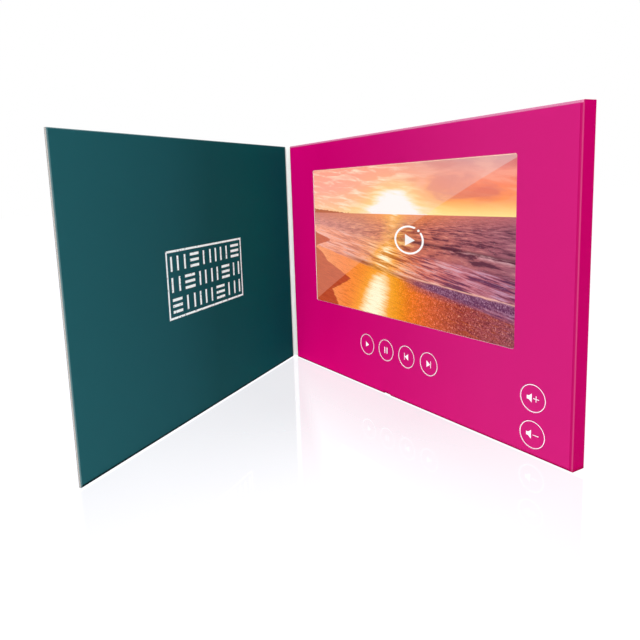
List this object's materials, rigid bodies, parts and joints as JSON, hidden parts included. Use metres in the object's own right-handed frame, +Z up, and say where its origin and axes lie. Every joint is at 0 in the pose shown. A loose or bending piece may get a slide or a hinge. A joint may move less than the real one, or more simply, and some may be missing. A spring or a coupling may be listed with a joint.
{
  "type": "video brochure",
  "caption": "Card brochure that stands in a V: a shallow box with a colour screen and round press caps, and a card cover that folds over it on a creased spine.",
  "frame": {"origin": "centre of the screen box's bottom face, on the surface that the brochure stands on", "axes": "+X from the spine to the box's free edge, +Y from the screen face to the back, +Z up"},
  "size_m": [0.2155, 0.1843, 0.148],
  "materials": {
    "magenta_card": "printed in magenta and matt laminated",
    "teal_card": "printed in deep teal and matt laminated, white inside",
    "grey_board": "raw grey board",
    "white_foam": "closed-cell foam",
    "glue": "dried glue film",
    "tape": "double-sided tape",
    "clear_lens": "polished clear sheet",
    "display_glass": "display glass",
    "display_films": "diffusing film",
    "light_guide": "clear moulded acrylic",
    "white_moulding": "moulded",
    "steel_sheet": "pressed sheet",
    "circuit_board": "green solder mask",
    "lamp_strip": "lamps on a film strip",
    "black_resin": "moulded resin",
    "plunger_plastic": "moulded",
    "white_nylon": "moulded",
    "ribbon_film": "polyimide film",
    "lead_insulation": "extruded",
    "battery_foil": "foil pouch",
    "battery_wrap": "heat-resistant tape",
    "speaker_can": "moulded",
    "speaker_paper": "pressed",
    "magnet": "nickel plated",
    "printed_caps": "printed to match the card"
  },
  "bodies": {
    "screen_box": {"back_card": "teal_card", "backing_board": "grey_board", "backlight_strip": "lamp_strip", "battery_cell": "battery_foil", "battery_guard": "battery_wrap", "battery_leads": "lead_insulation", "battery_plug": "white_nylon", "battery_tape": "tape", "case_card": "magenta_card", "diffuser_films": "display_films", "display_driver": "black_resin", "display_frame": "white_moulding", "display_front_glass": "display_glass", "display_plate": "steel_sheet", "display_rear_glass": "display_glass", "display_ribbon": "ribbon_film", "display_tape": "tape", "filler_frame": "white_foam", "foam_strips": "white_foam", "lid_sensor": "black_resin", "light_guide": "light_guide", "main_board": "circuit_board", "memory_chip": "black_resin", "power_coils": "black_resin", "processor": "black_resin", "ribbon_socket": "white_nylon", "row_switches": "black_resin", "screen_lens": "clear_lens", "sensor_board": "circuit_board", "sensor_leads": "lead_insulation", "speaker_cone": "speaker_paper", "speaker_frame": "speaker_can", "speaker_leads": "lead_insulation", "speaker_magnet": "magnet", "speaker_plug": "white_nylon", "usb_socket": "steel_sheet", "usb_tongue": "black_resin", "volume_board": "circuit_board", "volume_ribbon": "ribbon_film", "volume_switches": "black_resin"},
    "spine": {"spine_card": "teal_card"},
    "cover": {"cover_card": "teal_card", "cover_glue": "glue", "cover_liner": "teal_card", "cover_magnet": "magnet"},
    "play_key": {"play_button": "printed_caps", "play_plunger": "plunger_plastic"},
    "pause_key": {"pause_button": "printed_caps", "pause_plunger": "plunger_plastic"},
    "previous_key": {"previous_button": "printed_caps", "previous_plunger": "plunger_plastic"},
    "next_key": {"next_button": "printed_caps", "next_plunger": "plunger_plastic"},
    "volume_up_key": {"volume_up_button": "printed_caps", "volume_up_plunger": "plunger_plastic"},
    "volume_down_key": {"volume_down_button": "printed_caps", "volume_down_plunger": "plunger_plastic"}
  },
  "joints": [
    {"name": "spine_fold", "type": "hinge", "parent": "screen_box", "child": "spine", "pos_m": [-0.1058, 0.0041, 0.074], "axis": [0, 0, 1], "range_deg": [-61.4, 28.6]},
    {"name": "cover_fold", "type": "hinge", "parent": "spine", "child": "cover", "pos_m": [-0.11016, -0.00389, 0.074], "axis": [0, 0, 1], "range_deg": [-61.4, 28.6]},
    {"name": "play_press", "type": "slide", "parent": "screen_box", "child": "play_key", "axis": [0, 1, 0], "range_m": [0, 0.0003], "stiffness_N_per_m": 2000, "springref_m": -0.0002},
    {"name": "pause_press", "type": "slide", "parent": "screen_box", "child": "pause_key", "axis": [0, 1, 0], "range_m": [0, 0.0003], "stiffness_N_per_m": 2000, "springref_m": -0.0002},
    {"name": "previous_press", "type": "slide", "parent": "screen_box", "child": "previous_key", "axis": [0, 1, 0], "range_m": [0, 0.0003], "stiffness_N_per_m": 2000, "springref_m": -0.0002},
    {"name": "next_press", "type": "slide", "parent": "screen_box", "child": "next_key", "axis": [0, 1, 0], "range_m": [0, 0.0003], "stiffness_N_per_m": 2000, "springref_m": -0.0002},
    {"name": "volume_up_press", "type": "slide", "parent": "screen_box", "child": "volume_up_key", "axis": [0, 1, 0], "range_m": [0, 0.0003], "stiffness_N_per_m": 2000, "springref_m": -0.0002},
    {"name": "volume_down_press", "type": "slide", "parent": "screen_box", "child": "volume_down_key", "axis": [0, 1, 0], "range_m": [0, 0.0003], "stiffness_N_per_m": 2000, "springref_m": -0.0002}
  ],
  "couplings": [
    {"joint": "spine_fold", "follows": "cover_fold", "ratio": 1}
  ]
}
